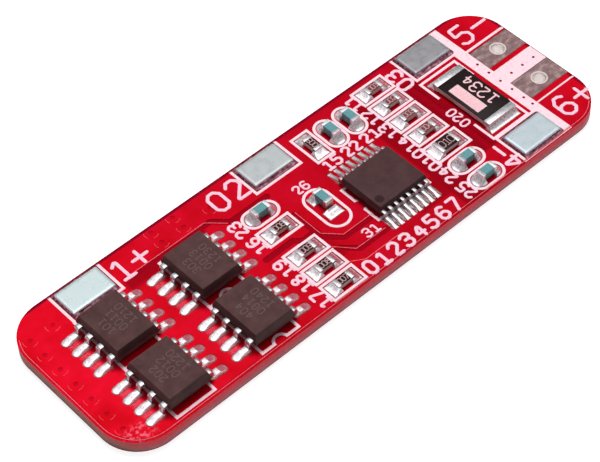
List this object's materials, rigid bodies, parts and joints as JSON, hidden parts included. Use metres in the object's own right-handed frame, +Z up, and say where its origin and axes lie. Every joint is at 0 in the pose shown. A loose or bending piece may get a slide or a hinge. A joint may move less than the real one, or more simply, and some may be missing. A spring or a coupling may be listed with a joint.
{
  "type": "battery management board",
  "caption": "Protection and balancing circuit board for a lithium cell pack, with cell tabs, switching transistors, a sense resistor and plated output holes.",
  "frame": {"origin": "middle of the underside of the board", "axes": "+X along the board towards the output pads, +Y across it towards the edge with three cell tabs, +Z up, out of the side that carries the parts"},
  "size_m": [0.05, 0.0156, 0.0028],
  "materials": {
    "board_core": "glass epoxy, matt cut edge",
    "solder_mask": "glossy lacquer",
    "legend_ink": "printed ink",
    "solder": "bright reflowed solder",
    "tinned_pad": "dull tinned copper",
    "nickel": "satin nickel",
    "lead_metal": "bright tin plate",
    "moulding": "fine matt moulding compound",
    "ceramic": "white fired ceramic",
    "coat": "black glaze",
    "end_metal": "tin plate",
    "capacitor_ceramic": "grey-green fired ceramic"
  },
  "bodies": {
    "root": {"substrate": "board_core", "mask_top": "solder_mask", "mask_bottom": "solder_mask", "legend": "legend_ink", "weld_lands": "solder", "output_pad_plus": "tinned_pad", "output_pad_minus": "tinned_pad", "capacitor_1_body": "capacitor_ceramic", "capacitor_1_ends": "end_metal", "capacitor_2_body": "capacitor_ceramic", "capacitor_2_ends": "end_metal", "capacitor_3_body": "capacitor_ceramic", "capacitor_3_ends": "end_metal", "capacitor_4_body": "capacitor_ceramic", "capacitor_4_ends": "end_metal", "capacitor_5_body": "capacitor_ceramic", "capacitor_5_ends": "end_metal", "capacitor_6_body": "capacitor_ceramic", "capacitor_6_ends": "end_metal", "cell_tab_1": "nickel", "cell_tab_2": "nickel", "cell_tab_3": "nickel", "cell_tab_4": "nickel", "chip_lands": "solder", "controller_body": "moulding", "controller_leads": "lead_metal", "lead_lands": "solder", "resistor_10_body": "ceramic", "resistor_10_ends": "end_metal", "resistor_1_body": "ceramic", "resistor_1_ends": "end_metal", "resistor_2_body": "ceramic", "resistor_2_ends": "end_metal", "resistor_3_body": "ceramic", "resistor_3_ends": "end_metal", "resistor_4_body": "ceramic", "resistor_4_ends": "end_metal", "resistor_5_body": "ceramic", "resistor_5_ends": "end_metal", "resistor_6_body": "ceramic", "resistor_6_ends": "end_metal", "resistor_7_body": "ceramic", "resistor_7_ends": "end_metal", "resistor_8_body": "ceramic", "resistor_8_ends": "end_metal", "resistor_9_body": "ceramic", "resistor_9_ends": "end_metal", "resistor_coats": "coat", "shunt_body": "ceramic", "shunt_coat": "coat", "shunt_ends": "end_metal", "transistor_1_body": "moulding", "transistor_1_leads": "lead_metal", "transistor_2_body": "moulding", "transistor_2_leads": "lead_metal", "transistor_3_body": "moulding", "transistor_3_leads": "lead_metal", "transistor_4_body": "moulding", "transistor_4_leads": "lead_metal"}
  },
  "joints": []
}
